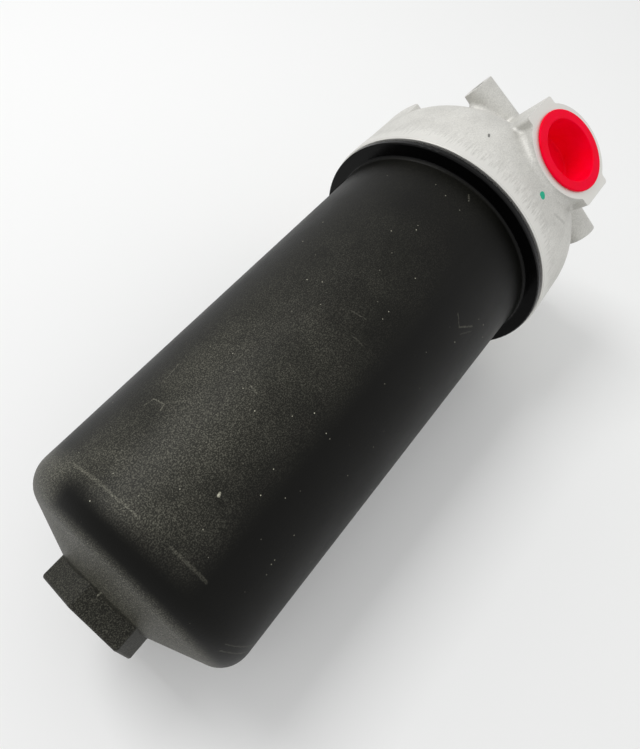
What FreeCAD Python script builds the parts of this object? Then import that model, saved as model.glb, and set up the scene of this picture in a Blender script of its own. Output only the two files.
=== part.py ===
import FreeCAD, Part
import math
import os

# Inline suction filter: an aluminium head with two ports in one line, a moulded bowl
# screwed up into the head's skirt, and a pleated element between them.
# Frame: +Z runs up the filter axis, +X is the outlet port's axis, and z = 0 is the
# flat mounting face on top of the head. All lengths are in millimetres.

# Clearances
running_fit = 0.05          # radial gap of a bored fit that slides or turns
seal_gap = 0.05             # gap left round an O-ring in its groove
plug_gap = 0.04             # radial gap of a push-in plug or screwed plug in its bore

# Head casting
skirt_r = 75.0              # turned band round the skirt's lower edge
turned_band = 7.3           # height of that band
skirt_draft = 1.6           # degrees, drawing in from the band towards the dome
skirt_chamfer = 0.8
skirt_wall = 7.0            # from the band in to the bowl thread
dome_cover = 1.0            # dome top above the spanner lugs
dome_edge_r = 41.5          # round shoulder between skirt and dome top
roof_wall = 7.0             # dome top down to the chamber's roof
chamber_ledge = 6.3         # chamber inside the bowl's O-ring land
chamber_edge_r = 28.0
spigot_r = 27.0             # turned tube that the element seals on
spigot_bore_r = 20.0
spigot_shoulder = 4.0       # cast root of the spigot, wider than its turned end
spigot_end_drop = 0.8       # spigot's end below the skirt's lower edge
duct_wall = 4.5             # cast wall round the outlet passage
duct_clearance = 0.62       # from that wall down to the bowl's O-ring land
tunnel_root_r = 4.0         # cast round between the port tunnel and the dome
boss_root_r = 3.0           # and round the gauge bosses
lug_root_r = 2.0            # and behind the port faces

# Ports, G 1 1/4
port_bore_r = 19.48         # minor radius of the port thread
port_wall = 8.52
port_cover = 1.2            # port tunnel's top below the mounting face
port_stand = 2.0            # port face proud of the turned band
lug_half_width = 30.0       # spanner lug across the port face
lug_half_height = 13.2
lug_inner_end = 12.0        # buried in the dome, from the filter axis
lug_corner_r = 1.8

# Gauge bosses, G 1/8, on both sides of the outlet
gauge_face_distance = 36.0  # boss axis behind the outlet's port face
gauge_rise = 15.2           # boss axis above the outlet's axis
gauge_setback = 18.0        # boss end inside the skirt's outside
gauge_boss_r = 9.2          # at its end
gauge_boss_draft = 2.0      # degrees
gauge_thread_r = 4.28       # minor radius of the gauge thread
gauge_thread_depth = 12.0
gauge_drill_r = 2.5

# Flat lands on the skirt's two sides
side_land_half_width = 20.0
side_land_setback = 0.4     # round outer face inside the turned band's
side_land_depth = 14.0      # inwards from that face
side_land_height = 39.5     # above the turned band
side_land_corner_r = 3.0
side_land_edge_r = 0.8

# Mounting bar across the head's top, one M10 hole near each end
mount_inset = 33.0          # hole inside the skirt's outside
mount_bar_r = 10.5          # half its width, and its round ends
mount_edge_r = 1.5
mount_hole_r = 4.25         # minor radius of the M10 thread
mount_hole_depth = 16.0
drill_point_deg = 59.0      # half the drill's point angle

# Bowl
thread_depth = 1.4          # bowl thread, its major radius bored in the skirt
thread_lead = 4.0
thread_turns = 4.5          # turns from tight to free
thread_runout = 3.5         # bored length past those turns
land_step = 0.3             # bore for the bowl's O-ring, inside the thread's root
land_length = 10.0
neck_clearance = 1.0        # neck's top below the end of the land bore
flange_setback = 1.0        # inside the skirt's outside
flange_thickness = 3.5
flange_edge_r = 0.7
flange_inset = 1.8          # groove between flange and skirt
flange_gap = 1.2            # height of that groove
bowl_step = 1.6             # bowl's wall inside the neck
bowl_taper = 2.8            # drawn in from the flange to the corner
bowl_depth = 246.2          # flange's lower face to the sharp corner of wall and crown
bowl_corner_r = 15.2
bowl_wall = 4.0
bowl_root_r = 1.6
crown_deg = 17.8            # slope of the bowl's end
seat_ring_gap = 1.1         # ring on the bowl's floor, outside the hold-up spring
seat_ring_wall = 2.0
seat_ring_height = 4.0
hex_across_flats = 46.0
hex_stand = 2.93            # hexagon's end below the point of the crown's cone
hex_edge_r = 2.0
hex_end_edge_r = 1.4
hex_turn = 25.4             # degrees, where the first corner stops when the bowl is tight
core_out_r = 14.0
core_out_depth = 10.0

# O-rings
bowl_groove_depth = 2.7
bowl_groove_width = 3.4
spigot_groove_depth = 2.2
spigot_groove_width = 2.9

# Red protection plugs
plug_rim_width = 4.52
plug_rim_thickness = 1.5
plug_wall = 1.2
plug_depth = 18.0
plug_taper_deg = 3.6
plug_rim_edge_r = 0.5
plug_base_edge_r = 2.0

# Gauge plugs
gauge_plug_relief = 1.6     # thread left past the plug's inner end
gauge_plug_recess = 0.4
socket_across_flats = 5.0
socket_depth = 5.0

# Element
element_stand = 28.4        # its lower end above the bowl's sharp corner
element_gap = 8.6           # from its outside to the bowl's wall
sheet = 1.0                 # end cap sheet
cap_rim = 9.0
collar_wall = 3.0
core_wall = 1.2
core_gap = 0.3
guard_wall = 0.5
pleat_count = 40
pleat_thickness = 1.0
pleat_gap = 0.6
hole_r = 4.5                # punched holes in core and guard
core_hole_columns = 4
guard_hole_columns = 6
hole_rows = 9

# Bypass valve in the element's lower cap
bypass_seat_r = 13.0
bypass_lip_width = 1.8
bypass_lip_height = 1.5
bypass_seal_width = 5.0
bypass_seal_thickness = 2.0
bypass_disc_thickness = 2.0
stem_r = 3.0
stem_head_r = 5.0
stem_head_height = 1.6
stem_above_cage = 9.0
bypass_spring_length = 24.0
bypass_spring_r = 8.5
bypass_wire_r = 0.8
bypass_spring_turns = 6.0
cage_gap = 2.6              # round the seal
cage_foot_width = 5.0
cage_leg_width = 8.0
cage_sheet = 2.0
clip_r = 5.5
clip_thickness = 1.0
clip_groove_depth = 0.6
clip_height = 5.0           # clip above the cage

# Hold-up spring under the element
spring_plate_margin = 3.1   # plate past the coil
spring_plate_lip = 3.0
spring_r = 19.5
spring_wire_r = 1.4
spring_turns = 5.0
coil_steps = 24             # straight lengths in one turn of either spring

# Levels and radii that follow from the sizes above
port_boss_r = port_bore_r + port_wall
port_reach = skirt_r + port_stand
port_z = -port_boss_r - port_cover
lug_length = port_reach - lug_inner_end
gauge_offset = port_reach - gauge_face_distance
gauge_z = port_z + gauge_rise
gauge_reach = skirt_r - gauge_setback
dome_z = port_z + lug_half_height + dome_cover
mount_spacing = 2 * (skirt_r - mount_inset)
thread_r = skirt_r - skirt_wall
duct_r = port_bore_r + duct_wall
land_top_z = port_z - duct_r - duct_clearance
thread_length = thread_lead * thread_turns + thread_runout
thread_top_z = land_top_z - land_length
skirt_z = thread_top_z - thread_length
band_z = skirt_z + turned_band
dome_r = skirt_r - (dome_z - band_z) * math.tan(math.radians(skirt_draft))
side_land_r = skirt_r - side_land_setback
side_land_top_z = band_z + side_land_height
neck_top_z = land_top_z - neck_clearance
neck_root_r = thread_r - thread_depth
land_r = neck_root_r - land_step
neck_land_r = land_r - running_fit
chamber_r = land_r - chamber_ledge
flange_r = skirt_r - flange_setback
flange_top_z = skirt_z - flange_gap
flange_z = flange_top_z - flange_thickness
bowl_top_r = neck_root_r - bowl_step
bowl_base_r = bowl_top_r - bowl_taper
bowl_inner_r = bowl_top_r - bowl_wall
bowl_corner_z = flange_z - bowl_depth
crown_slope = math.tan(math.radians(crown_deg))
crown_wall = bowl_wall / math.cos(math.radians(crown_deg))
crown_tip_z = bowl_corner_z - bowl_base_r * crown_slope
hex_end_z = crown_tip_z - hex_stand
spigot_end_z = skirt_z - spigot_end_drop
collar_r = spigot_r + running_fit
collar_outer_r = collar_r + collar_wall
shoulder_r = spigot_r + spigot_shoulder
element_top_z = thread_top_z
element_end_z = bowl_corner_z + element_stand
element_r = bowl_inner_r - element_gap
core_inner_r = collar_outer_r + core_gap
core_outer_r = core_inner_r + core_wall
guard_outer_r = element_r - sheet
guard_inner_r = guard_outer_r - guard_wall
caps_inside_top_z = element_top_z - sheet
caps_inside_end_z = element_end_z + sheet
lip_top_z = caps_inside_end_z + bypass_lip_height
seal_top_z = lip_top_z + bypass_seal_thickness
disc_top_z = seal_top_z + bypass_disc_thickness
cage_top_z = disc_top_z + bypass_spring_length + cage_sheet
seal_inner_r = bypass_seat_r - bypass_seal_width / 2 + bypass_lip_width / 2
seal_outer_r = seal_inner_r + bypass_seal_width
cage_r = seal_outer_r + cage_gap + cage_foot_width
spring_plate_z = element_end_z - sheet
spring_plate_r = spring_r + spring_wire_r + spring_plate_margin
seat_ring_inner_r = spring_r + spring_wire_r + seat_ring_gap
seat_ring_r = seat_ring_inner_r + seat_ring_wall
plug_rim_r = port_bore_r + plug_rim_width
gauge_plug_length = gauge_thread_depth - gauge_plug_recess - gauge_plug_relief

AXIS_X = FreeCAD.Vector(1, 0, 0)
AXIS_Y = FreeCAD.Vector(0, 1, 0)
AXIS_Z = FreeCAD.Vector(0, 0, 1)
ORIGIN = FreeCAD.Vector(0, 0, 0)


def rounded_edges(corners, closed=True):
    """Edges of an outline in the XZ plane; a corner is (x, z) or (x, z, radius)."""
    points = [FreeCAD.Vector(c[0], 0, c[1]) for c in corners]
    radii = [c[2] if len(c) > 2 else 0 for c in corners]
    count = len(points)
    starts, ends, mids = [], [], []
    for i, here in enumerate(points):
        if not radii[i]:
            starts.append(here)
            ends.append(here)
            mids.append(None)
            continue
        back = (points[i - 1] - here).normalize()
        ahead = (points[(i + 1) % count] - here).normalize()
        half = back.getAngle(ahead) / 2
        middle = (back + ahead).normalize()
        reach = radii[i] / math.tan(half)
        centre = here + middle * (radii[i] / math.sin(half))
        starts.append(here + back * reach)
        ends.append(here + ahead * reach)
        mids.append(centre - middle * radii[i])
    edges = []
    for i in range(count):
        if mids[i] is not None:
            edges.append(Part.Arc(starts[i], mids[i], ends[i]).toShape())
        follow = (i + 1) % count
        if follow == 0 and not closed:
            break
        if (starts[follow] - ends[i]).Length > 1e-6:
            edges.append(Part.LineSegment(ends[i], starts[follow]).toShape())
    return edges


def outline_face(corners):
    return Part.Face(Part.Wire(rounded_edges(corners)))


def lathe(corners):
    """Solid turned round Z from corners (radius, z) or (radius, z, corner radius)."""
    return outline_face(corners).revolve(ORIGIN, AXIS_Z, 360)


def ring(inner, outer, low, high):
    return lathe([(inner, low), (outer, low), (outer, high), (inner, high)])


def rod(radius, length, base, direction):
    return Part.makeCylinder(radius, length, FreeCAD.Vector(*base), direction)


def prism(corners, length):
    """Outline in the XZ plane pushed along +Y, centred on y = 0."""
    shape = outline_face(corners).extrude(FreeCAD.Vector(0, length, 0))
    shape.translate(FreeCAD.Vector(0, -length / 2, 0))
    return shape


def hexagon(across_flats, height, edge_r=0):
    """Upright hexagonal prism on z = 0 with one corner on +X."""
    reach = across_flats / math.sqrt(3)
    corners = []
    for i in range(6):
        angle = math.radians(60 * i)
        corners.append((reach * math.cos(angle), reach * math.sin(angle), edge_r))
    shape = outline_face(corners).extrude(FreeCAD.Vector(0, -height, 0))
    shape.rotate(ORIGIN, AXIS_X, -90)
    shape.translate(FreeCAD.Vector(0, 0, height - shape.BoundBox.ZMax))
    return shape


def turned_about_z(shape, degrees):
    copy = shape.copy()
    copy.rotate(ORIGIN, AXIS_Z, degrees)
    return copy


def coil(radius, wire_r, low, high, turns):
    """Open helical spring between low and high, bent from short straight lengths."""
    height = high - low - 2 * wire_r
    count = round(turns * coil_steps)
    points = []
    for i in range(count + 1):
        angle = 2 * math.pi * i / coil_steps
        level = low + wire_r + height * i / count
        points.append(
            FreeCAD.Vector(radius * math.cos(angle), radius * math.sin(angle), level))
    section = Part.Wire(Part.makeCircle(wire_r, points[0], points[1] - points[0]))
    return Part.makePolygon(points).makePipeShell([section], True, False, 1)


def o_ring(inner, outer, level):
    """Round-section ring that fills the radial space from inner to outer."""
    section_r = (outer - inner) / 2
    return Part.makeTorus((inner + outer) / 2, section_r, FreeCAD.Vector(0, 0, level))


def lies_on(solid, point):
    return solid.Shells[0].distToShape(Part.Vertex(point))[0] < 1e-3


def lies_on_radius(edge, radius):
    """True for an edge whose middle and ends are all at this distance from Z."""
    span = edge.LastParameter - edge.FirstParameter
    points = [edge.valueAt(edge.FirstParameter + span * share) for share in (0, 0.5, 1)]
    return all(abs(math.hypot(point.x, point.y) - radius) < 1e-3 for point in points)


def joined(base, extra, root_r):
    """Base and extra in one piece, with a cast round where their outsides meet."""
    shape = base.fuse(extra).removeSplitter()
    seam = []
    for edge in shape.Edges:
        span = edge.LastParameter - edge.FirstParameter
        point = edge.valueAt(edge.FirstParameter + 0.47 * span)
        if lies_on(base, point) and lies_on(extra, point):
            seam.append(edge)
    return shape.makeFillet(root_r, seam)


def lug():
    """Spanner lug of the outlet's port face."""
    width, height = lug_half_width, lug_half_height
    corners = [
        (-width, -height, lug_corner_r), (width, -height, lug_corner_r),
        (width, height, lug_corner_r), (-width, height, lug_corner_r)]
    block = prism(corners, lug_length)
    block.rotate(ORIGIN, AXIS_Z, 90)
    block.translate(FreeCAD.Vector(port_reach - lug_length / 2, 0, port_z))
    return block


def gauge_boss():
    """Tapered cast boss on the -Y side of the outlet passage."""
    root_r = gauge_boss_r + gauge_reach * math.tan(math.radians(gauge_boss_draft))
    start = FreeCAD.Vector(gauge_offset, 0, gauge_z)
    return Part.makeCone(root_r, gauge_boss_r, gauge_reach, start, -AXIS_Y)


def gauge_hole(side):
    """Tapped hole of one gauge boss and the drilling on into the outlet passage."""
    start = (gauge_offset, side * gauge_reach, gauge_z)
    tapped = rod(gauge_thread_r, gauge_thread_depth, start, AXIS_Y * -side)
    drilled = rod(gauge_drill_r, gauge_reach, start, AXIS_Y * -side)
    return tapped.fuse(drilled)


def side_land():
    """Raised land on the +Y side, from the turned band up to the dome's shoulder."""
    width, top = side_land_half_width, side_land_top_z
    corners = [
        (-width, band_z), (width, band_z),
        (width, top, side_land_corner_r), (-width, top, side_land_corner_r)]
    land = prism(corners, side_land_depth)
    land.translate(FreeCAD.Vector(0, side_land_r - side_land_depth / 2, 0))
    land = land.common(rod(side_land_r, top - band_z, (0, 0, band_z), AXIS_Z))
    outer = [edge for edge in land.Edges if lies_on_radius(edge, side_land_r)]
    return land.makeFillet(side_land_edge_r, outer)


def mounting_bar():
    """Round-ended bar over the port tunnel, with the mounting face on top."""
    depth = roof_wall - dome_z
    reach = mount_spacing / 2
    bar = Part.makeBox(
        2 * mount_bar_r, mount_spacing, depth,
        FreeCAD.Vector(-mount_bar_r, -reach, -depth))
    ends = [rod(mount_bar_r, depth, (0, side * reach, -depth), AXIS_Z) for side in (1, -1)]
    bar = bar.multiFuse(ends).removeSplitter()
    top = [edge for edge in bar.Edges if edge.BoundBox.ZMin > -1e-3]
    return bar.makeFillet(mount_edge_r, top)


def mounting_hole(side):
    y = side * mount_spacing / 2
    hole = rod(mount_hole_r, mount_hole_depth, (0, y, -mount_hole_depth), AXIS_Z)
    point = mount_hole_r / math.tan(math.radians(drill_point_deg))
    tip = Part.makeCone(
        0, mount_hole_r, point,
        FreeCAD.Vector(0, y, -mount_hole_depth - point), AXIS_Z)
    return hole.fuse(tip)


def head_outside():
    """Skirt and dome with ports, lugs, gauge bosses, side lands and mounting bar."""
    body = lathe([
        (0, skirt_z), (skirt_r - skirt_chamfer, skirt_z),
        (skirt_r, skirt_z + skirt_chamfer), (skirt_r, band_z),
        (dome_r, dome_z, dome_edge_r), (0, dome_z)])
    tunnel = rod(port_boss_r, 2 * port_reach, (-port_reach, 0, port_z), AXIS_X)
    body = joined(body, tunnel, tunnel_root_r)
    body = joined(body, gauge_boss(), boss_root_r)
    body = joined(body, gauge_boss().mirror(ORIGIN, AXIS_Y), boss_root_r)
    body = joined(body, lug(), lug_root_r)
    body = joined(body, turned_about_z(lug(), 180), lug_root_r)
    lands = [side_land(), turned_about_z(side_land(), 180)]
    return body.multiFuse([mounting_bar()] + lands)


def head_cavity():
    """Bored thread, O-ring land and the chamber round the outlet passage."""
    roof_z = dome_z - roof_wall
    bored = lathe([
        (0, skirt_z), (thread_r, skirt_z), (thread_r, thread_top_z),
        (land_r, thread_top_z), (land_r, land_top_z), (chamber_r, land_top_z),
        (chamber_r, roof_z, chamber_edge_r), (0, roof_z)])
    spigot = ring(0, spigot_r, spigot_end_z, element_top_z)
    spigot = spigot.fuse(ring(0, shoulder_r, element_top_z, port_z))
    spigot = spigot.fuse(Part.makeSphere(shoulder_r, FreeCAD.Vector(0, 0, port_z)))
    duct = rod(duct_r, port_reach, (0, 0, port_z), AXIS_X)
    return bored.cut(spigot.fuse(duct)), spigot


def head_casting():
    cavity, spigot = head_cavity()
    passages = [
        rod(port_bore_r, port_reach, (0, 0, port_z), AXIS_X),
        rod(port_bore_r, port_reach - shoulder_r, (-port_reach, 0, port_z), AXIS_X),
        Part.makeSphere(spigot_bore_r, FreeCAD.Vector(0, 0, port_z)),
        rod(spigot_bore_r, port_z - spigot_end_z, (0, 0, spigot_end_z), AXIS_Z)]
    groove_z = (element_top_z + spigot_end_z) / 2
    groove = ring(
        spigot_r - spigot_groove_depth, spigot_r + spigot_groove_depth,
        groove_z - spigot_groove_width / 2, groove_z + spigot_groove_width / 2)
    holes = [gauge_hole(side) for side in (1, -1)]
    holes += [mounting_hole(side) for side in (1, -1)]
    solid = head_outside().cut(cavity)
    below = ring(0, spigot_r, spigot_end_z, skirt_z)
    solid = solid.fuse(below)
    return solid.cut(Part.makeCompound(passages + [groove] + holes))


def bowl_outline():
    """Corners of the turned bowl, from the axis outside, up the neck and down inside."""
    groove_z = (thread_top_z + neck_top_z) / 2
    groove_low = groove_z - bowl_groove_width / 2
    groove_high = groove_z + bowl_groove_width / 2
    groove_r = neck_land_r - bowl_groove_depth
    inner_base_r = bowl_base_r - bowl_wall
    inner_corner_z = bowl_corner_z - bowl_wall * crown_slope + crown_wall
    floor_z = bowl_corner_z - (bowl_base_r - seat_ring_r) * crown_slope + crown_wall
    return [
        (0, crown_tip_z),
        (bowl_base_r, bowl_corner_z, bowl_corner_r),
        (bowl_top_r, flange_z, bowl_root_r),
        (flange_r, flange_z, flange_edge_r),
        (flange_r, flange_top_z, flange_edge_r),
        (flange_r - flange_inset, flange_top_z),
        (flange_r - flange_inset, skirt_z),
        (neck_root_r, skirt_z),
        (neck_root_r, thread_top_z),
        (neck_land_r, thread_top_z),
        (neck_land_r, groove_low),
        (groove_r, groove_low),
        (groove_r, groove_high),
        (neck_land_r, groove_high),
        (neck_land_r, neck_top_z, flange_edge_r),
        (bowl_inner_r, neck_top_z),
        (bowl_inner_r, flange_z),
        (inner_base_r, inner_corner_z, bowl_corner_r - bowl_wall),
        (seat_ring_r, floor_z),
        (seat_ring_r, floor_z + seat_ring_height),
        (seat_ring_inner_r, floor_z + seat_ring_height),
        (seat_ring_inner_r, floor_z),
        (0, floor_z)], floor_z


def bowl():
    corners, floor_z = bowl_outline()
    shell = lathe(corners)
    reach = hex_across_flats / math.sqrt(3)
    crown_at_hex = bowl_corner_z - (bowl_base_r - reach) * crown_slope
    height = crown_at_hex + crown_wall / 2 - hex_end_z
    nut = hexagon(hex_across_flats, height, hex_edge_r)
    end = [edge for edge in nut.Edges if edge.BoundBox.ZMax < 1e-3]
    nut = nut.makeFillet(hex_end_edge_r, end)
    nut.rotate(ORIGIN, AXIS_Z, hex_turn)
    nut.translate(FreeCAD.Vector(0, 0, hex_end_z))
    pocket = rod(core_out_r, core_out_depth, (0, 0, hex_end_z), AXIS_Z)
    return shell.fuse(nut).cut(pocket)


def protection_plug():
    """Push-in plug of the outlet port, open side out."""
    mouth_r = port_bore_r - plug_gap
    taper = math.tan(math.radians(plug_taper_deg))
    base_r = mouth_r - plug_depth * taper
    floor = plug_depth - plug_wall
    shape = lathe([
        (0, -plug_depth), (base_r, -plug_depth, plug_base_edge_r), (mouth_r, 0),
        (plug_rim_r, 0, plug_rim_edge_r),
        (plug_rim_r, plug_rim_thickness, plug_rim_edge_r),
        (mouth_r - plug_wall, plug_rim_thickness, plug_rim_edge_r),
        (mouth_r - plug_wall - (floor + plug_rim_thickness) * taper, -floor, plug_wall),
        (0, -floor)])
    shape.rotate(ORIGIN, AXIS_Y, 90)
    shape.translate(FreeCAD.Vector(port_reach, 0, port_z))
    return shape


def gauge_plug(side):
    """Screwed plug with a hexagon socket, just inside the gauge boss's end."""
    body = rod(gauge_thread_r - plug_gap, gauge_plug_length, (0, 0, 0), AXIS_Z)
    socket = hexagon(socket_across_flats, socket_depth)
    socket.translate(FreeCAD.Vector(0, 0, gauge_plug_length - socket_depth))
    plug = body.cut(socket)
    plug.rotate(ORIGIN, AXIS_X, -90 * side)
    end = gauge_reach - gauge_plug_recess - gauge_plug_length
    plug.translate(FreeCAD.Vector(gauge_offset, side * end, gauge_z))
    return plug


def bowl_o_ring():
    groove_z = (thread_top_z + neck_top_z) / 2
    floor = neck_land_r - bowl_groove_depth
    return o_ring(floor + seal_gap, land_r - seal_gap / 2, groove_z)


def element_o_ring():
    groove_z = (element_top_z + spigot_end_z) / 2
    floor = spigot_r - spigot_groove_depth
    return o_ring(floor + seal_gap / 2, collar_r - seal_gap / 4, groove_z)


def element_top_cap():
    """Upper end cap: a collar on the spigot, a plate and a turned-down rim."""
    low = spigot_end_z - sheet
    return lathe([
        (collar_r, low), (collar_outer_r, low), (collar_outer_r, caps_inside_top_z),
        (guard_outer_r, caps_inside_top_z), (guard_outer_r, element_top_z - cap_rim),
        (element_r, element_top_z - cap_rim), (element_r, element_top_z, sheet / 2),
        (collar_r, element_top_z)])


def element_bottom_cap():
    """Lower end cap with the bypass valve's raised seat."""
    lip_r = bypass_seat_r + bypass_lip_width
    return lathe([
        (bypass_seat_r, element_end_z), (element_r, element_end_z, sheet / 2),
        (element_r, element_end_z + cap_rim), (guard_outer_r, element_end_z + cap_rim),
        (guard_outer_r, caps_inside_end_z), (lip_r, caps_inside_end_z),
        (lip_r, lip_top_z), (bypass_seat_r, lip_top_z)])


def punched_tube(inner, outer, columns):
    """Tube between the end caps with rows of holes right through it."""
    tube = ring(inner, outer, caps_inside_end_z, caps_inside_top_z)
    solid_top = collar_length() + hole_r
    top = caps_inside_top_z - solid_top
    low = caps_inside_end_z + cap_rim + 2 * hole_r
    pitch = (top - low) / hole_rows
    drills = []
    for row in range(hole_rows):
        level = low + pitch * (row + 0.5)
        for column in range(columns):
            drill = rod(hole_r, 2 * outer + 2, (-outer - 1, 0, level), AXIS_X)
            turn = 180 * (column + 0.5 * (row % 2)) / columns
            drills.append(turned_about_z(drill, turn))
    return tube.cut(Part.makeCompound(drills))


def collar_length():
    """Length of the top cap's collar below the cap's sheet."""
    return caps_inside_top_z - (spigot_end_z - sheet)


def pleated_media():
    """Star-folded paper between core and guard."""
    inner = core_outer_r + pleat_gap
    outer = guard_inner_r - pleat_gap
    stars = []
    for inset in (0, pleat_thickness):
        radii = (inner + pleat_thickness - inset, outer - inset)
        points = []
        for i in range(2 * pleat_count + 1):
            angle = math.pi * i / pleat_count
            x, y = radii[i % 2] * math.cos(angle), radii[i % 2] * math.sin(angle)
            points.append(FreeCAD.Vector(x, y, caps_inside_end_z))
        stars.append(Part.Face(Part.makePolygon(points)))
    height = caps_inside_top_z - caps_inside_end_z
    return stars[0].cut(stars[1]).extrude(AXIS_Z * height)


def bypass_cage():
    """Bridge over the valve: a foot ring, three legs and a plate that guides the stem."""
    foot = ring(
        cage_r - cage_foot_width, cage_r, caps_inside_end_z,
        caps_inside_end_z + cage_sheet)
    plate = ring(stem_r + running_fit, cage_r, cage_top_z - cage_sheet, cage_top_z)
    height = cage_top_z - caps_inside_end_z
    wall = ring(cage_r - cage_sheet, cage_r, caps_inside_end_z, cage_top_z)
    legs = []
    for i in range(3):
        leg = Part.makeBox(
            cage_r, cage_leg_width, height,
            FreeCAD.Vector(0, -cage_leg_width / 2, caps_inside_end_z))
        legs.append(turned_about_z(leg, 120 * i).common(wall))
    return foot.multiFuse([plate] + legs)


def bypass_disc():
    """Poppet disc with the spigot that holds its seal."""
    return lathe([
        (stem_r, lip_top_z), (seal_inner_r, lip_top_z), (seal_inner_r, seal_top_z),
        (seal_outer_r, seal_top_z), (seal_outer_r, disc_top_z), (stem_r, disc_top_z)])


def bypass_seal():
    return ring(seal_inner_r, seal_outer_r, lip_top_z, seal_top_z)


def bypass_stem():
    """Headed pin riveted through the disc, with a groove for the clip."""
    low = lip_top_z
    top = cage_top_z + stem_above_cage
    clip_z = cage_top_z + clip_height
    groove_r = stem_r - clip_groove_depth
    return lathe([
        (0, low - stem_head_height), (stem_head_r, low - stem_head_height),
        (stem_head_r, low), (stem_r, low), (stem_r, clip_z), (groove_r, clip_z),
        (groove_r, clip_z + clip_thickness), (stem_r, clip_z + clip_thickness),
        (stem_r, top, stem_r / 4), (0, top)])


def bypass_clip():
    """Open retaining clip in the stem's groove."""
    clip_z = cage_top_z + clip_height
    inner = stem_r - clip_groove_depth
    whole = ring(inner, clip_r, clip_z, clip_z + clip_thickness)
    mouth = Part.makeBox(
        clip_r, 2 * inner, clip_thickness, FreeCAD.Vector(0, -inner, clip_z))
    return whole.cut(mouth)


def bypass_spring():
    low, high = disc_top_z, cage_top_z - cage_sheet
    return coil(bypass_spring_r, bypass_wire_r, low, high, bypass_spring_turns)


def spring_plate():
    """Plate between the hold-up spring and the element, with a lip inside the coil."""
    coil_inner_r = spring_r * math.cos(math.pi / coil_steps) - spring_wire_r
    lip_r = coil_inner_r - running_fit
    return lathe([
        (lip_r - sheet, element_end_z), (spring_plate_r, element_end_z),
        (spring_plate_r, spring_plate_z), (lip_r, spring_plate_z),
        (lip_r, spring_plate_z - spring_plate_lip),
        (lip_r - sheet, spring_plate_z - spring_plate_lip)])


def element_spring():
    floor_z = bowl_outline()[1]
    return coil(spring_r, spring_wire_r, floor_z, spring_plate_z, spring_turns)


NODES = {
    "head": head_casting,
    "bowl": bowl,
    "bowl_o_ring": bowl_o_ring,
    "outlet_plug": protection_plug,
    "inlet_plug": lambda: turned_about_z(protection_plug(), 180),
    "gauge_plug_front": lambda: gauge_plug(-1),
    "gauge_plug_rear": lambda: gauge_plug(1),
    "element_top_cap": element_top_cap,
    "element_bottom_cap": element_bottom_cap,
    "element_media": pleated_media,
    "element_core": lambda: punched_tube(core_inner_r, core_outer_r, core_hole_columns),
    "element_guard": lambda: punched_tube(
        guard_inner_r, guard_outer_r, guard_hole_columns),
    "element_o_ring": element_o_ring,
    "bypass_cage": bypass_cage,
    "bypass_disc": bypass_disc,
    "bypass_seal": bypass_seal,
    "bypass_stem": bypass_stem,
    "bypass_clip": bypass_clip,
    "bypass_spring": bypass_spring,
    "spring_plate": spring_plate,
    "element_spring": element_spring,
}


def main():
    os.makedirs("parts", exist_ok=True)
    for name, make in NODES.items():
        shape = make()
        shape.exportStep("parts/" + name + ".step")
        print(name, len(shape.Solids), shape.isValid(), round(shape.Volume / 1000, 2), "cm3")


main()
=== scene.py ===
"""Inline suction filter: materials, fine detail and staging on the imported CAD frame.

The frame's +Z runs up the filter axis to the head, +X out of the outlet port. Lengths in
this script are in millimetres unless a name ends in _m, and turn into metres at the mesh.
"""

import math

import bmesh
import bpy
from bpy.props import FloatProperty, FloatVectorProperty, PointerProperty
from mathutils import Matrix, Vector


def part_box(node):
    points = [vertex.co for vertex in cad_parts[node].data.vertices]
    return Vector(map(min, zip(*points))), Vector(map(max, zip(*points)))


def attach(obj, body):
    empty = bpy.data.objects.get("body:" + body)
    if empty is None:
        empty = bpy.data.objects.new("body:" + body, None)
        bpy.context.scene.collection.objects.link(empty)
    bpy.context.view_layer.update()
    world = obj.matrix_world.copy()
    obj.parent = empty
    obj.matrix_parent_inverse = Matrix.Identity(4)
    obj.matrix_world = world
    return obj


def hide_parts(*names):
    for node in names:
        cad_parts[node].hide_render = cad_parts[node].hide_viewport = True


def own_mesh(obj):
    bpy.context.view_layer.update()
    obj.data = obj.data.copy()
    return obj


bl_info = {
    "name": "Inline suction filter",
    "version": (1, 0, 0),
    "blender": (4, 5, 0),
    "location": "View3D > Sidebar > Filter",
    "description": "Materials, fine detail and stage of an inline suction filter",
    "category": "Object",
}

MM = 0.001
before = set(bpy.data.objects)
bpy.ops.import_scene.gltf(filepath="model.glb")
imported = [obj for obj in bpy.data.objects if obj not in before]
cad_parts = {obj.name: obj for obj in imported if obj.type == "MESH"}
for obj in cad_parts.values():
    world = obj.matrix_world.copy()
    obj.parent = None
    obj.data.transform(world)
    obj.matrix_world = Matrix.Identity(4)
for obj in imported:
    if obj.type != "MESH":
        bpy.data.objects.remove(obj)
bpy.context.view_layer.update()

# The white table that the filter lies on: its upward normal, and its distance from the
# frame's origin. It touches the inlet port's lug and the bowl's lower corner.
TABLE_UP = Vector((0.8053, -0.5897, 0.0616)).normalized()
TABLE_BELOW = 82.2
ALONG = (Vector((0, 0, 1)) - TABLE_UP * TABLE_UP.z).normalized()
SIDE = ALONG.cross(TABLE_UP)
MIDDLE = Vector((0, 0, -188.0))

# The photograph's camera, fitted to the filter's edges. The picture's size and its principal
# point are in pixels, the directions point right and down in the picture.
PICTURE_WIDE = 640
PICTURE_HIGH = 749
PRINCIPAL_ACROSS = 299.8
PRINCIPAL_DOWN = 332.8
CAMERA_PLACE = Vector((288.6, -84.9, -340.5))
CAMERA_RIGHT = Vector((0.4614, 0.6303, 0.6244))
CAMERA_DOWN = Vector((-0.1601, 0.7514, -0.6402))

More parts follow.
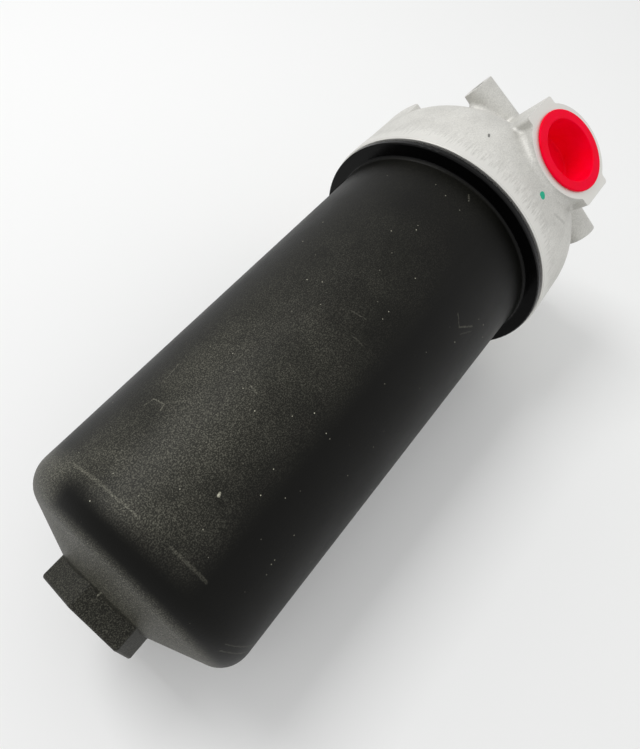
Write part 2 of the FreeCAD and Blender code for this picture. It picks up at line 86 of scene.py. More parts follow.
# Sizes and levels of the CAD pieces that the materials and this script's own pieces follow.
# BOWL_RADIUS is a mean of the tapered bowl, at which its surface is unrolled.
SKIRT_RADIUS = 75.0
PORT_REACH = 77.0
BOWL_RADIUS = 64.0
NECK_ROOT_RADIUS = 66.6
NECK_CREST_RADIUS = 67.8
THREAD_START = -83.0
FLANGE_FACE = -90.0
FLANGE_LINE_RADIUS = 66.1
VALVE_SPRING_RADIUS = 8.5
VALVE_WIRE_RADIUS = 0.8
VALVE_SPRING_TURNS = 6.0
VALVE_SPRING_LOW = -301.3
VALVE_SPRING_HIGH = -277.3

# The table fades out between these distances from its middle, to the right and in front.
TABLE_FADE_START = 240.0
TABLE_FADE_END = 340.0
TABLE_NEAR_M = 0.34
TABLE_FAR_M = -3.6
TABLE_GLOW = 0.14

# The soft box: the side of its square, and how far it stands from MIDDLE, in metres.
LAMP_SIDE_M = 0.6
LAMP_PLACE_M = TABLE_UP * 1.36 - SIDE * 0.68 - ALONG * 0.03


# Colours and nodes

def linear(code):
    """A colour picked as sRGB hex, as the linear RGBA that shader sockets take."""
    rgb = []
    for i in (0, 2, 4):
        c = int(code[i:i + 2], 16) / 255
        rgb.append(c / 12.92 if c <= 0.04045 else ((c + 0.055) / 1.055) ** 2.4)
    return (*rgb, 1.0)


class NodeTree:
    """The nodes of a material or a world."""

    def __init__(self, owner):
        self.owner = owner
        owner.use_nodes = True
        self.tree = owner.node_tree
        self.tree.nodes.clear()

    def add(self, kind, *inputs, **settings):
        """One node. Inputs go in order, or by name; None leaves one as it is."""
        node = self.tree.nodes.new("ShaderNode" + kind)
        own = {name for name in settings if name in node.bl_rna.properties}
        for name in own:
            setattr(node, name, settings.pop(name))
        named = [(node.inputs[name.replace("_", " ")], settings[name]) for name in settings]
        for socket, value in (*zip(node.inputs, inputs), *named):
            if isinstance(value, bpy.types.Node):
                value = value.outputs[0]
            if isinstance(value, bpy.types.NodeSocket):
                self.tree.links.new(value, socket)
            elif value is not None:
                socket.default_value = value
        return node


def new_material(name):
    """An empty material, and the shaded point in mm about the frame's origin."""
    nodes = NodeTree(bpy.data.materials.new(name))
    place = nodes.add("VectorMath", nodes.add("TexCoord").outputs["Object"], Scale=1 / MM,
                      operation="SCALE")
    return nodes, place


def round_the_axis(nodes, place, radius=1.0):
    """The point's distance from the filter axis, its angle times the radius, and its z."""
    x, y, z = nodes.add("SeparateXYZ", place).outputs
    flat = nodes.add("CombineXYZ", x, y, 0.0)
    away = nodes.add("VectorMath", flat, operation="LENGTH").outputs["Value"]
    angle = nodes.add("Math", y, x, operation="ARCTAN2")
    arc = nodes.add("Math", angle, radius, operation="MULTIPLY")
    return away, arc, z


def stroke(nodes, point, start, end, width):
    """1 on a straight scratch between two points of the unrolled surface, 0 off it."""
    run = Vector((end[0] - start[0], end[1] - start[1], 0))
    rel = nodes.add("VectorMath", point, (*start, 0), operation="SUBTRACT")
    share = nodes.add("VectorMath", rel, tuple(run / run.length_squared),
                      operation="DOT_PRODUCT").outputs["Value"]
    share = nodes.add("Math", share, 1.0, operation="MULTIPLY", use_clamp=True)
    foot = nodes.add("VectorMath", tuple(run), Scale=share, operation="SCALE")
    gap = nodes.add("VectorMath", rel, foot, operation="DISTANCE").outputs["Value"]
    return nodes.add("MapRange", gap, width * 0.3, width, 1.0, 0.0,
                     interpolation_type="SMOOTHSTEP")


def strongest(nodes, masks):
    """The largest of several masks at each point."""
    top = masks[0]
    for mask in masks[1:]:
        top = nodes.add("Math", top, mask, operation="MAXIMUM")
    return top


def seen_ray(nodes):
    """1 on what the camera sees, straight, in reflections or through glass, else 0."""
    ray = nodes.add("LightPath")
    return strongest(nodes, [ray.outputs["Is Camera Ray"], ray.outputs["Is Glossy Ray"],
                             ray.outputs["Is Transmission Ray"]])


# Properties

class HeadLook(bpy.types.PropertyGroup):
    cast_grain: FloatProperty(
        name="Cast grain", description="Size of the blasted casting's grain in mm",
        default=0.8, min=0.1, unit="NONE")
    turned_height: FloatProperty(
        name="Turned height", description="Height of the skirt's turned edge in mm",
        default=7.3, min=0.0, unit="NONE")
    cast_colour: FloatVectorProperty(
        name="Cast colour", description="Blasted cast aluminium", subtype="COLOR",
        default=linear("D2D1CC")[:3])
    turned_colour: FloatVectorProperty(
        name="Turned colour", description="Aluminium where a tool has cut it",
        subtype="COLOR", default=linear("D8D7D2")[:3])
    dot_colour: FloatVectorProperty(
        name="Dot colour", description="Inspector's paint dot", subtype="COLOR",
        default=linear("00A884")[:3])


class BowlLook(bpy.types.PropertyGroup):
    grain: FloatProperty(
        name="Grain", description="Size of the mould's grain in mm", default=0.55,
        min=0.1, unit="NONE")
    dust_and_highlight: FloatProperty(
        name="Dust", description="How much dust greys the bowl's upper side", default=1.0,
        min=0.0, max=3.0, unit="NONE")
    wear: FloatProperty(
        name="Wear", description="How strongly the scratches and rubs show", default=1.0,
        min=0.0, max=3.0, unit="NONE")
    thread_lead: FloatProperty(
        name="Thread lead", description="Rise of the thread in one turn in mm",
        default=4.0, min=1.0, unit="NONE")
    thread_turns: FloatProperty(
        name="Thread turns", description="Turns of thread on the neck", default=4.5,
        min=1.0, unit="NONE")
    colour: FloatVectorProperty(
        name="Colour", description="Black glass-filled nylon", subtype="COLOR",
        default=linear("070705")[:3])


class StageLook(bpy.types.PropertyGroup):
    focal_px: FloatProperty(
        name="Focal length", description="Focal length in pixels of the 640 x 749 picture",
        default=610.0, min=100.0, unit="NONE")
    lamp_power: FloatProperty(
        name="Lamp", description="Power of the soft box over the table", default=9.0,
        min=0.0, unit="POWER")
    room: FloatProperty(
        name="Room", description="Light that the white room gives", default=0.68,
        min=0.0, unit="NONE")


# Materials

def blasted_aluminium(look):
    """Gravity-cast aluminium alloy, shot blasted.

    The blasting leaves a pale, warm, dull grey with a grain of under a millimetre and soft
    clouds where the metal flowed; the turned edge and the port faces are cleaner and show
    the tool's short marks. Its dull skin scatters light, so it is less than fully metallic,
    and its colours were set against the photograph.
    """
    nodes, mm = new_material("blasted_aluminium")
    _, arc, z = round_the_axis(nodes, mm, SKIRT_RADIUS)
    x = nodes.add("SeparateXYZ", mm).outputs[0]
    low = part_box("head")[0][2] / MM

    grain = nodes.add("TexNoise", mm, Scale=1 / look.cast_grain, Detail=2.0)
    flow = nodes.add("TexNoise", mm, Scale=1 / 30.0, Detail=4.0, Roughness=0.6)
    fold = nodes.add("TexNoise", mm, Scale=1 / 7.0, Detail=3.0, Roughness=0.65)
    cloud = nodes.add("MapRange", flow, 0.35, 0.68, interpolation_type="SMOOTHSTEP")
    cast = nodes.add("MixRGB", cloud, linear("C5C4BF"), (*look.cast_colour, 1))
    smudge = nodes.add("MapRange", fold, 0.56, 0.8, 0.0, 0.4,
                       interpolation_type="SMOOTHSTEP")
    cast = nodes.add("MixRGB", smudge, cast, linear("B2B1AB"))
    glitter = nodes.add("MapRange", grain, 0.3, 0.7, -0.1, 0.1)
    cast = nodes.add("HueSaturation", Value=nodes.add("Math", glitter, 1.0,
                     operation="ADD"), Color=cast)

    # Tool marks about 1.3 mm apart run up the skirt and end raggedly in the cast skin.
    marks_at = nodes.add("CombineXYZ", nodes.add("Math", arc, 1.3, operation="DIVIDE"),
                         nodes.add("Math", z, 11.0, operation="DIVIDE"), 0.0)
    marks = nodes.add("TexNoise", marks_at, Scale=1.0, Detail=2.0, Roughness=0.6)
    reach = nodes.add("Math", marks, 18.0, low + look.turned_height - 9.0,
                      operation="MULTIPLY_ADD")
    below = nodes.add("Math", reach, z, operation="SUBTRACT")
    turned = nodes.add("MapRange", below, -2.5, 2.5, interpolation_type="SMOOTHSTEP")
    fading = nodes.add("MapRange", z, low + 4.0, low + 22.0, 1.0, 0.0,
                       interpolation_type="SMOOTHSTEP")
    hatch = nodes.add("MapRange", marks, 0.4, 0.65, 0.0, 0.55)
    hatch = nodes.add("Math", hatch, fading, operation="MULTIPLY")
    port = nodes.add("MapRange", nodes.add("Math", x, operation="ABSOLUTE"),
                     PORT_REACH - 0.15, PORT_REACH - 0.05)
    cut = nodes.add("Math", turned, port, operation="MAXIMUM", use_clamp=True)
    colour = nodes.add("MixRGB", hatch, cast, linear("EEEDE9"))
    colour = nodes.add("MixRGB", cut, colour, (*look.turned_colour, 1))

    # Handling marks: a small dark nick on the skirt and a fold line beside the port.
    nick_at = nodes.add("CombineXYZ", arc, z, 0.0)
    nick = stroke(nodes, nick_at, (-37.6, -61.6), (-38.4, -60.0), 0.9)
    seam = stroke(nodes, nick_at, (20.0, -62.4), (30.0, -55.5), 1.1)
    scar = nodes.add("Math", nodes.add("Math", seam, 0.22, operation="MULTIPLY"), nick,
                     operation="MAXIMUM")
    colour = nodes.add("MixRGB", scar, colour, linear("6E6E6B"))

    turned_lines = nodes.add("TexNoise", nodes.add(
        "CombineXYZ", nodes.add("Math", arc, 9.0, operation="DIVIDE"),
        nodes.add("Math", z, 0.45, operation="DIVIDE"), 0.0), Scale=1.0, Detail=1.0)
    cast_height = nodes.add("Math", fold, 2.0, grain, operation="MULTIPLY_ADD")
    height = nodes.add("MixRGB", cut, cast_height, turned_lines)
    height = nodes.add("Math", height, scar, operation="SUBTRACT")
    bump = nodes.add("Bump", Strength=0.6, Distance=0.18 * MM, Height=height)
    rough = nodes.add("MapRange", cut, 0.0, 1.0, 0.62, 0.46)
    shader = nodes.add("BsdfPrincipled", colour, Metallic=0.6, Roughness=rough,
                       Normal=bump)
    nodes.add("OutputMaterial", shader)
    return nodes.owner


# Scratches and rubs on the bowl, unrolled: start and end as (mm round the bowl from the
# outlet side, level), then width and strength.
BOWL_MARKS = (
    ((16.5, -149.7), (22.9, -152.9), 0.4, 0.5),
    ((22.9, -152.9), (30.1, -143.6), 0.6, 0.55),
    ((26.6, -154.0), (32.0, -145.3), 0.5, 0.25),
    ((-12.4, -295.6), (-12.9, -294.4), 0.7, 4.0),
    ((-65.3, -286.5), (-64.0, -282.3), 0.5, 0.7),
    ((-64.0, -282.3), (-57.1, -281.7), 0.5, 0.8),
    ((-57.1, -281.7), (-56.2, -284.7), 0.6, 0.6),
    ((-62.0, -284.6), (-45.0, -271.5), 0.5, 0.25),
    ((-70.1, -263.4), (-68.1, -271.7), 0.4, 0.5),
    ((-33.7, -253.8), (-29.4, -254.9), 0.6, 0.5),
    ((-23.8, -195.4), (-16.7, -193.7), 0.5, 0.35),
    ((-15.2, -204.7), (-10.1, -204.7), 0.5, 0.25),
    ((-20.8, -95.3), (-19.4, -97.4), 0.5, 0.6),
    ((-25.6, -348.6), (-24.2, -347.6), 0.9, 2.2),
    ((-70.0, -321.6), (-53.0, -321.0), 1.1, 0.5),
    ((-53.0, -321.0), (-29.5, -320.8), 0.8, 0.5),
    ((-13.0, -320.5), (6.8, -320.2), 0.9, 0.35),
    ((38.0, -333.0), (58.0, -326.0), 0.4, 0.4),
    ((36.0, -330.0), (60.0, -322.0), 0.4, 0.35),
)


def moulded_nylon(look):
    """Glass-filled black nylon out of a spark-eroded mould.

    It is very dark and half matte, with a grain of about half a millimetre that glitters
    under the lamp. Dust greys the side that lay upward and there also paints the highlight of
    the soft box; the lower corner and the domed bottom are paler, the flange was turned smooth
    and stays glossy, and a few chips and scratches are almost white.
    """
    nodes, mm = new_material("moulded_nylon")
    radius, arc, z = round_the_axis(nodes, mm, BOWL_RADIUS)
    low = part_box("bowl")[0][2] / MM

    grain = nodes.add("TexNoise", mm, Scale=1 / look.grain, Detail=2.0, Roughness=0.6)
    cloud = nodes.add("TexNoise", mm, Scale=1 / 30.0, Detail=4.0, Roughness=0.6)

    # Dust lies on the upper side, thicker towards the hexagon, in grains of the mould's size.
    # The same mask paints the soft box's highlight there, on the side that faces the lamp.
    flat = nodes.add("CombineXYZ", *nodes.add("SeparateXYZ", mm).outputs[:2], 0.0)
    facing = nodes.add("VectorMath", nodes.add("VectorMath", flat, operation="NORMALIZE"),
                       tuple(Vector((TABLE_UP.x, TABLE_UP.y, 0)).normalized()),
                       operation="DOT_PRODUCT").outputs["Value"]
    lying = nodes.add("MapRange", facing, 0.72, 1.0, interpolation_type="SMOOTHSTEP")
    deeper = nodes.add("MapRange", z, -120.0, low + 40.0, 0.1, 1.25)
    drift = nodes.add("MapRange", cloud, 0.3, 0.7, 0.35, 1.0)
    grains = nodes.add("MapRange", grain, 0.46, 0.7, 0.15, 1.0)
    dust_and_highlight = nodes.add("Math", lying, deeper, operation="MULTIPLY")
    dust_and_highlight = nodes.add("Math", dust_and_highlight, drift, operation="MULTIPLY")
    dust_and_highlight = nodes.add("Math", dust_and_highlight, grains, operation="MULTIPLY")
    settled = nodes.add("MapRange", z, -331.0, -321.0, interpolation_type="SMOOTHSTEP")
    dust_and_highlight = nodes.add("Math", dust_and_highlight, settled, operation="MULTIPLY")
    dust_and_highlight = nodes.add("Math", dust_and_highlight, 0.26 * look.dust_and_highlight, operation="MULTIPLY")

    # The domed bottom is paler, the paling reaches up over the corner on the side turned to
    # the table, and it is weaker on the hexagon.
    dome = nodes.add("MapRange", z, -335.0, -340.0, interpolation_type="SMOOTHSTEP")
    turned_away = nodes.add("MapRange", arc, -60.0, -76.0, interpolation_type="SMOOTHSTEP")
    up_corner = nodes.add("MapRange", z, -316.0, -328.0, interpolation_type="SMOOTHSTEP")
    up_corner = nodes.add("Math", up_corner, turned_away, operation="MULTIPLY")
    spread = nodes.add("Math", dome, up_corner, operation="MAXIMUM")
    nut = nodes.add("MapRange", radius, 26.9, 27.6, 0.15, 0.29)
    bloom = nodes.add("Math", spread, nut, operation="MULTIPLY")
    bloom = nodes.add("Math", bloom, grains, operation="MULTIPLY")

    # Dust specks and chips of the glass filling, 0.3 to 0.6 mm across.
    cells = nodes.add("TexVoronoi", mm, Scale=1 / 4.5)
    dots = nodes.add("MapRange", cells, 0.04, 0.075, 1.0, 0.0)
    rare = nodes.add("SeparateColor", cells.outputs["Color"])
    seldom = nodes.add("MapRange", rare, 0.55, 1.0, 0.0, 0.9)
    specks = nodes.add("Math", dots, seldom, operation="MULTIPLY")

    shaky = nodes.add("TexNoise", mm, Scale=1 / 1.6, Detail=2.0)
    sway = nodes.add("VectorMath", shaky.outputs["Color"], (0.5, 0.5, 0.5),
                     operation="SUBTRACT")
    point = nodes.add("VectorMath", sway, (1.3, 1.3, 0.0), nodes.add(
        "CombineXYZ", arc, z, 0.0), operation="MULTIPLY_ADD")
    marks = []
    for start, end, width, strength in BOWL_MARKS:
        line = stroke(nodes, point, start, end, width)
        marks.append(nodes.add("Math", line, 0.22 * strength, operation="MULTIPLY"))
    broken = nodes.add("MapRange", grain, 0.35, 0.6, 0.25, 1.0)
    scratches = nodes.add("Math", strongest(nodes, marks), broken, operation="MULTIPLY")

    # Fine lines of the mould's draw, lengthwise, a little over half a millimetre apart.
    drawn = nodes.add("TexNoise", nodes.add(
        "CombineXYZ", nodes.add("Math", arc, 0.8, operation="DIVIDE"),
        nodes.add("Math", z, 45.0, operation="DIVIDE"), 0.0), Scale=1.0, Detail=2.0)

    worn = strongest(nodes, [bloom, specks, scratches])
    worn = nodes.add("Math", worn, look.wear, operation="MULTIPLY")
    # Dust with its painted highlight, the paler bottom, the specks and the scratches pale the
    # bowl.
    pale = nodes.add("Math", dust_and_highlight, worn, operation="ADD", use_clamp=True)

    ring = nodes.add("MapRange", radius, 65.4, 65.9)
    face = nodes.add("MapRange", z, FLANGE_FACE - 0.8, FLANGE_FACE - 0.3)
    flange = nodes.add("Math", ring, face, operation="MULTIPLY", use_clamp=True)
    matte = nodes.add("Math", 1.0, flange, operation="SUBTRACT")
    pale = nodes.add("Math", pale, matte, operation="MULTIPLY")
    colour = nodes.add("MixRGB", pale, (*look.colour, 1), linear("C9C7B4"))
    colour = nodes.add("MixRGB", flange, colour, linear("040404"))
    rough = nodes.add("MapRange", cloud, 0.3, 0.7, 0.4, 0.48)
    rough = nodes.add("MapRange", flange, 0.0, 1.0, rough, 0.2)
    height = nodes.add("Math", drawn, 0.35, grain, operation="MULTIPLY_ADD")
    height = nodes.add("Math", height, matte, operation="MULTIPLY")
    bump = nodes.add("Bump", Strength=0.7, Distance=0.1 * MM, Height=height)
    # The specular level lies below nylon's own and was set against the photograph.
    shader = nodes.add("BsdfPrincipled", colour, Roughness=rough, Normal=bump,
                       Specular_IOR_Level=0.11)
    nodes.add("OutputMaterial", shader)
    return nodes.owner


def moulded_polyethylene():
    """Injection-moulded soft polyethylene, the stuff of red thread caps.

    The colour is deep and even, the skin satin with a faint flow haze, and a little light
    comes through thin walls.
    """
    nodes, mm = new_material("moulded_polyethylene")
    haze = nodes.add("TexNoise", mm, Scale=1 / 9.0, Detail=3.0, Roughness=0.6)
    fine = nodes.add("TexNoise", mm, Scale=1 / 0.6, Detail=2.0)
    colour = nodes.add("MixRGB", nodes.add("MapRange", haze, 0.35, 0.7), linear("FA0028"),
                       linear("FF0034"))
    rough = nodes.add("MapRange", haze, 0.3, 0.7, 0.42, 0.52)
    height = nodes.add("Math", haze, 6.0, fine, operation="MULTIPLY_ADD")
    bump = nodes.add("Bump", Strength=0.3, Distance=0.05 * MM, Height=height)
    shader = nodes.add(
        "BsdfPrincipled", colour, Roughness=rough, Normal=bump, Specular_IOR_Level=0.04,
        Subsurface_Weight=0.08, Subsurface_Radius=(2.0, 0.3, 0.2), Subsurface_Scale=MM)
    nodes.add("OutputMaterial", shader)
    return nodes.owner


def nitrile_rubber():
    """Moulded nitrile rubber: near black, with a greasy half sheen and a dull bloom."""
    nodes, mm = new_material("nitrile_rubber")
    bloom = nodes.add("TexNoise", mm, Scale=1 / 3.0, Detail=3.0, Roughness=0.6)
    share = nodes.add("MapRange", bloom, 0.4, 0.8)
    colour = nodes.add("MixRGB", share, linear("161616"), linear("2B2B2A"))
    rough = nodes.add("MapRange", bloom, 0.3, 0.8, 0.35, 0.55)
    bump = nodes.add("Bump", Strength=0.3, Distance=0.02 * MM, Height=bloom)
    shader = nodes.add("BsdfPrincipled", colour, Roughness=rough, Normal=bump)
    nodes.add("OutputMaterial", shader)
    return nodes.owner


def zinc_plated_steel(name, code, roughness):
    """Steel sheet or wire with a bright zinc plate: a cool grey, lightly mottled by the
    plating's crystals of about 3 mm and hazed by handling."""
    nodes, mm = new_material(name)
    flakes = nodes.add("TexVoronoi", mm, Scale=1 / 3.0)
    tone = nodes.add("SeparateColor", flakes.outputs["Color"])
    scuff = nodes.add("TexNoise", mm, Scale=1 / 0.8, Detail=3.0, Roughness=0.6)
    colour = nodes.add("MixRGB", tone, linear(code), linear("D2D4D3"))
    rough = nodes.add("MapRange", scuff, 0.3, 0.75, roughness - 0.06, roughness + 0.1)
    bump = nodes.add("Bump", Strength=0.25, Distance=0.02 * MM, Height=scuff)
    shader = nodes.add("BsdfPrincipled", colour, Metallic=1.0, Roughness=rough,
                       Normal=bump)
    nodes.add("OutputMaterial", shader)
    return nodes.owner


def filter_paper():
    """Resin-treated cellulose paper: cream, matte, with fibres along the pleats."""
    nodes, mm = new_material("filter_paper")
    along = nodes.add("VectorMath", mm, (1 / 0.4, 1 / 0.4, 1 / 1.6), operation="MULTIPLY")
    fibre = nodes.add("TexNoise", along, Scale=1.0, Detail=3.0, Roughness=0.6)
    tone = nodes.add("TexNoise", mm, Scale=1 / 12.0, Detail=2.0)
    colour = nodes.add("MixRGB", nodes.add("MapRange", tone, 0.3, 0.7), linear("D9CDA9"),
                       linear("E6DCBD"))
    thin = nodes.add("MapRange", fibre, 0.35, 0.6, 0.35, 0.0)
    colour = nodes.add("MixRGB", thin, colour, linear("B9A778"))
    bump = nodes.add("Bump", Strength=0.5, Distance=0.06 * MM, Height=fibre)
    shader = nodes.add("BsdfPrincipled", colour, Roughness=0.9, Normal=bump)
    nodes.add("OutputMaterial", shader)
    return nodes.owner


def marking_paint(look):
    """Air-dried marking paint: an even green film."""
    nodes, mm = new_material("marking_paint")
    film = nodes.add("TexNoise", mm, Scale=1 / 1.2, Detail=2.0)
    colour = nodes.add("MixRGB", film, (*look.dot_colour, 1), linear("00B08A"))
    rough = nodes.add("MapRange", film, 0.3, 0.7, 0.4, 0.5)
    bump = nodes.add("Bump", Strength=0.3, Distance=0.03 * MM, Height=film)
    shader = nodes.add("BsdfPrincipled", colour, Roughness=rough, Normal=bump,
                       Specular_IOR_Level=0.3)
    nodes.add("OutputMaterial", shader)
    return nodes.owner


def dress(node, material):
    """Put one material on a CAD node."""
    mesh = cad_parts[node].data
    mesh.materials.clear()
    mesh.materials.append(material)


def new_piece(name, bm, material, body):
    """A piece of this script on its body, smooth but for edges sharper than 32 degrees."""
    mesh = bpy.data.meshes.new(name)
    bmesh.ops.recalc_face_normals(bm, faces=bm.faces)
    bm.to_mesh(mesh)
    bm.free()
    mesh.materials.append(material)
    for face in mesh.polygons:
        face.use_smooth = True
    mesh.set_sharp_from_angle(angle=math.radians(32.0))
    obj = bpy.data.objects.new(name, mesh)
    bpy.context.scene.collection.objects.link(obj)
    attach(obj, body)
    return obj


# Fine geometry

def on_cylinder(bm, radius, angle, level):
    """A vertex at a radius, an angle and a level about the filter axis."""
    return bm.verts.new((radius * math.cos(angle) * MM, radius * math.sin(angle) * MM,
                         level * MM))


def loft(bm, rows, ring=False):
    """Quads from each closed row of points to the next; a ring joins the last to the first."""
    following = rows[1:] + rows[:1] if ring else rows[1:]
    for a, b in zip(rows, following):
        for j in range(len(a)):
            k = (j + 1) % len(a)
            bm.faces.new((a[j], b[j], b[k], a[k]))


def close_ends(bm, rows):
    """A face on the first and on the last row."""
    bm.faces.new(rows[0])
    bm.faces.new(list(reversed(rows[-1])))


def thread_ridge(root_r, crest_r, lead, turns, start_z, steps=120):
    """A helical ridge with flat crest, tapering out over its first and last eighth turn."""
    bm = bmesh.new()
    rows = []
    for i in range(int(turns * steps) + 1):
        turn = i / steps
        fade = max(0.02, min(1.0, 8 * turn, 8 * (turns - turn)))
        middle = start_z + lead * turn
        half_root = 0.40 * lead * fade
        half_crest = min(0.12 * lead, half_root)
        crest = root_r + (crest_r - root_r) * fade
        profile = ((root_r - 0.05, -half_root), (crest, -half_crest),
                   (crest, half_crest), (root_r - 0.05, half_root))
        rows.append([on_cylinder(bm, r, 2 * math.pi * turn, middle + dz)
                     for r, dz in profile])
    loft(bm, rows)
    close_ends(bm, rows)
    return bm


def witness_ring(radius, level, half_width, rise, steps=240, around=8):
    """A fine raised line that the flange's facing tool left, a rounded bead in section."""
    bm = bmesh.new()
    rows = []
    for i in range(steps):
        angle = 2 * math.pi * i / steps
        rows.append([on_cylinder(
            bm, radius + half_width * math.cos(2 * math.pi * j / around), angle,
            level - rise * math.sin(2 * math.pi * j / around)) for j in range(around)])
    loft(bm, rows, ring=True)
    return bm


def coil_spring(radius, wire_r, low, high, turns, steps=40, around=10):
    """An open coil of round wire between two levels, its ends cut flat."""
    bm = bmesh.new()
    rows = []
    count = int(turns * steps)
    for i in range(count + 1):
        turn = 2 * math.pi * i / steps
        middle = low + wire_r + (high - low - 2 * wire_r) * i / count
        row = []
        for j in range(around):
            round_wire = 2 * math.pi * j / around
            row.append(on_cylinder(bm, radius + wire_r * math.cos(round_wire), turn,
                                   middle + wire_r * math.sin(round_wire)))
        rows.append(row)
    loft(bm, rows)
    close_ends(bm, rows)
    return bm


def paint_drop(radius, arc, level, half_long, half_short, thickness):
    """A thin oval drop on the skirt with a rounded rim; its half axes are (round, up)."""
    bm = bmesh.new()
    rings, around = 6, 28
    rows = []
    for i in range(rings + 1):
        share = i / rings
        rise = thickness * math.sqrt(max(0.0, 1 - share ** 4)) - 0.01
        row = []
        for j in range(around if i else 1):
            a = 2 * math.pi * j / around
            wobble = 1 + 0.05 * math.sin(3 * a + 0.6)
            reach = [share * wobble * (math.cos(a) * p + math.sin(a) * q)
                     for p, q in zip(half_long, half_short)]
            row.append(on_cylinder(bm, radius + rise, (arc + reach[0]) / radius,
                                   level + reach[1]))
        rows.append(row)
    for j in range(around):
        bm.faces.new((rows[0][0], rows[1][j], rows[1][(j + 1) % around]))
    loft(bm, rows[1:])
    bm.faces.new(list(reversed(rows[-1])))
    return bm


# Operators

class FILTER_OT_head(bpy.types.Operator):
    """Finish the cast head, its gauge plugs and the inspector's dot"""

    bl_idname = "filter.head"
    bl_label = "Head"

    def execute(self, context):
        look = context.scene.filter_head
        dress("head", blasted_aluminium(look))
        steel = zinc_plated_steel("gauge_plug_steel", "A9AAA8", 0.34)
        dress("gauge_plug_front", steel)
        dress("gauge_plug_rear", steel)
        drop = paint_drop(radius=74.6, arc=5.96, level=-64.93, half_long=(1.9, -1.45),
                          half_short=(1.19, 1.9), thickness=0.12)
        new_piece("inspection_dot", drop, marking_paint(look), "head_group")
        return {"FINISHED"}


class FILTER_OT_bowl(bpy.types.Operator):
    """Finish the moulded bowl, its thread, the line on its flange and its seal"""

    bl_idname = "filter.bowl"
    bl_label = "Bowl"

    def execute(self, context):
        look = context.scene.filter_bowl
        nylon = moulded_nylon(look)
        dress("bowl", nylon)
        ridge = thread_ridge(NECK_ROOT_RADIUS, NECK_CREST_RADIUS, look.thread_lead,
                             look.thread_turns, THREAD_START)
        new_piece("bowl_thread", ridge, nylon, "bowl_group")
        line = witness_ring(FLANGE_LINE_RADIUS, FLANGE_FACE, half_width=0.16, rise=0.1)
        new_piece("flange_line", line, nylon, "bowl_group")
        dress("bowl_o_ring", nitrile_rubber())
        return {"FINISHED"}


class FILTER_OT_plugs(bpy.types.Operator):
    """Finish the two red protection plugs"""

    bl_idname = "filter.plugs"
    bl_label = "Protection plugs"

    def execute(self, context):
        red = moulded_polyethylene()
        dress("outlet_plug", red)
        dress("inlet_plug", red)
        return {"FINISHED"}


class FILTER_OT_element(bpy.types.Operator):
    """Finish the element, the bypass valve and the hold-up spring"""

    bl_idname = "filter.element"
    bl_label = "Element and valve"

    def execute(self, context):
        sheet = zinc_plated_steel("zinc_sheet", "B4B6B4", 0.3)
        for node in ("element_top_cap", "element_bottom_cap", "element_core",
                     "element_guard", "bypass_cage", "bypass_disc", "spring_plate"):
            dress(node, sheet)
        wire = zinc_plated_steel("spring_wire", "7B7C7E", 0.36)
        for node in ("bypass_spring", "bypass_clip", "element_spring"):
            dress(node, wire)
        # The valve's spring runs from the disc towards the cage that holds it.
        turns = coil_spring(VALVE_SPRING_RADIUS, VALVE_WIRE_RADIUS, VALVE_SPRING_LOW,
                            VALVE_SPRING_HIGH, VALVE_SPRING_TURNS)
        coil = new_piece("bypass_coil", turns, wire, "head_group")
        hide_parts("bypass_spring")
        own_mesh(coil)
        dress("bypass_stem", zinc_plated_steel("stem_steel", "A2A3A2", 0.26))
        dress("element_media", filter_paper())
        rubber = nitrile_rubber()
        dress("element_o_ring", rubber)
        dress("bypass_seal", rubber)
        return {"FINISHED"}


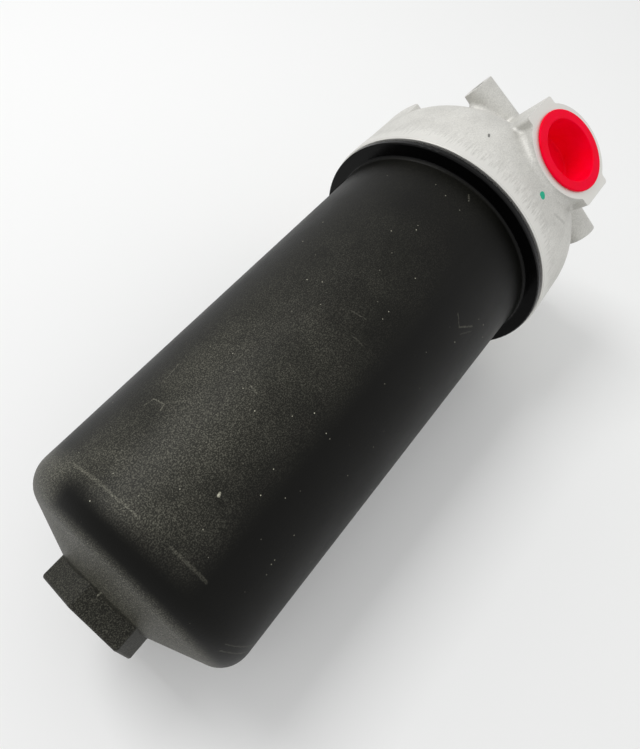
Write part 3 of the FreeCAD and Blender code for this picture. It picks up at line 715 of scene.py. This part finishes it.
class FILTER_OT_stage(bpy.types.Operator):
    """Set the table, the studio light and the photograph's camera"""

    bl_idname = "filter.stage"
    bl_label = "Stage"

    def execute(self, context):
        scene = context.scene
        look = scene.filter_stage
        self.camera(scene, look)
        self.table(scene)
        self.lamp(scene, look)
        self.world(scene, look)
        scene.view_settings.view_transform = "Standard"
        return {"FINISHED"}

    def camera(self, scene, look):
        """The photograph's camera."""
        camera = bpy.data.cameras.new("photo_camera")
        camera.sensor_width = 36.0
        camera.lens = look.focal_px / PICTURE_HIGH * camera.sensor_width
        camera.shift_x = (PICTURE_WIDE / 2 - PRINCIPAL_ACROSS) / PICTURE_HIGH
        camera.shift_y = -(PICTURE_HIGH / 2 - PRINCIPAL_DOWN) / PICTURE_HIGH
        camera.clip_start = 0.02
        eye = bpy.data.objects.new("photo_camera", camera)
        scene.collection.objects.link(eye)
        back = -CAMERA_RIGHT.cross(CAMERA_DOWN)
        turn = Matrix((CAMERA_RIGHT, -CAMERA_DOWN, back)).transposed()
        eye.matrix_world = Matrix.Translation(CAMERA_PLACE * MM) @ turn.to_4x4()
        scene.camera = eye

    def table(self, scene):
        """A wide white table top under the lying filter, seen only from its upper side.

        It fades out a third of a metre in front and to the right of the filter, outside
        the picture, and shows the eye, reflections and glass a little more white than it
        gives as light.
        """
        nodes, mm = new_material("white_table")
        tone = nodes.add("TexNoise", mm, Scale=1 / 900.0, Detail=1.0)
        shade = nodes.add("MixRGB", tone, linear("E6E7E6"), linear("EAEAEA"))
        top = nodes.add("BsdfDiffuse", shade)
        glow = nodes.add("Math", seen_ray(nodes), TABLE_GLOW, operation="MULTIPLY")
        top = nodes.add("AddShader", top, nodes.add("Emission", shade, glow))
        clear = nodes.add("BsdfTransparent")
        across, forward = nodes.add("SeparateXYZ", mm).outputs[:2]
        right_edge = nodes.add("MapRange", across, TABLE_FADE_START, TABLE_FADE_END,
                               interpolation_type="SMOOTHSTEP")
        front_edge = nodes.add("MapRange", forward, -TABLE_FADE_START,
                               -TABLE_FADE_END,
                               interpolation_type="SMOOTHSTEP")
        gone = strongest(nodes, [nodes.add("NewGeometry").outputs["Backfacing"], right_edge,
                                 front_edge])
        nodes.add("OutputMaterial", nodes.add("MixShader", gone, top, clear))
        bm = bmesh.new()
        near, far = TABLE_NEAR_M, TABLE_FAR_M
        bm.faces.new([bm.verts.new(corner_m) for corner_m in (
            (near, -near, 0), (near, -far, 0), (far, -far, 0), (far, -near, 0))])
        mesh = bpy.data.meshes.new("table_top")
        bm.to_mesh(mesh)
        bm.free()
        mesh.materials.append(nodes.owner)
        table = bpy.data.objects.new("table_top", mesh)
        scene.collection.objects.link(table)
        centre = MIDDLE - TABLE_UP * (TABLE_BELOW + MIDDLE.dot(TABLE_UP))
        table.matrix_world = Matrix.Translation(centre * MM) @ Matrix(
            (SIDE, ALONG, TABLE_UP)).transposed().to_4x4()

    def lamp(self, scene, look):
        """One broad soft box over the table, up and to the left of the bowl."""
        light = bpy.data.lights.new("soft_box", "AREA")
        light.shape = "SQUARE"
        light.size = LAMP_SIDE_M
        light.energy = look.lamp_power
        lamp = bpy.data.objects.new("soft_box", light)
        scene.collection.objects.link(lamp)
        lamp.location = MIDDLE * MM + LAMP_PLACE_M
        lamp.rotation_euler = (-LAMP_PLACE_M).to_track_quat("-Z", "Y").to_euler()

    def world(self, scene, look):
        """White to the eye, in reflections and through glass; softer as light."""
        world = bpy.data.worlds.new("studio")
        scene.world = world
        nodes = NodeTree(world)
        strength = nodes.add("MapRange", seen_ray(nodes), 0.0, 1.0, look.room, 1.0)
        nodes.add("OutputWorld", nodes.add("Background", linear("FFFFFF"), strength))


class FILTER_PT_panel(bpy.types.Panel):
    """Sliders and buttons of the filter"""

    bl_idname = "FILTER_PT_panel"
    bl_label = "Inline suction filter"
    bl_space_type = "VIEW_3D"
    bl_region_type = "UI"
    bl_category = "Filter"

    def draw(self, context):
        scene = context.scene
        for group in (scene.filter_head, scene.filter_bowl, scene.filter_stage):
            for name in group.__annotations__:
                self.layout.prop(group, name)
        for operator in OPERATORS:
            self.layout.operator(operator.bl_idname)


GROUPS = {"filter_head": HeadLook, "filter_bowl": BowlLook, "filter_stage": StageLook}
OPERATORS = (FILTER_OT_head, FILTER_OT_bowl, FILTER_OT_plugs, FILTER_OT_element,
             FILTER_OT_stage)


def register():
    for cls in (*GROUPS.values(), *OPERATORS, FILTER_PT_panel):
        bpy.utils.register_class(cls)
    for name, group in GROUPS.items():
        setattr(bpy.types.Scene, name, PointerProperty(type=group))


def unregister():
    for name in GROUPS:
        delattr(bpy.types.Scene, name)
    for cls in (FILTER_PT_panel, *reversed(OPERATORS), *reversed(tuple(GROUPS.values()))):
        bpy.utils.unregister_class(cls)


def main():
    register()
    for operator in OPERATORS:
        group, name = operator.bl_idname.split(".")
        getattr(getattr(bpy.ops, group), name)()


if __name__ == "__main__":
    main()
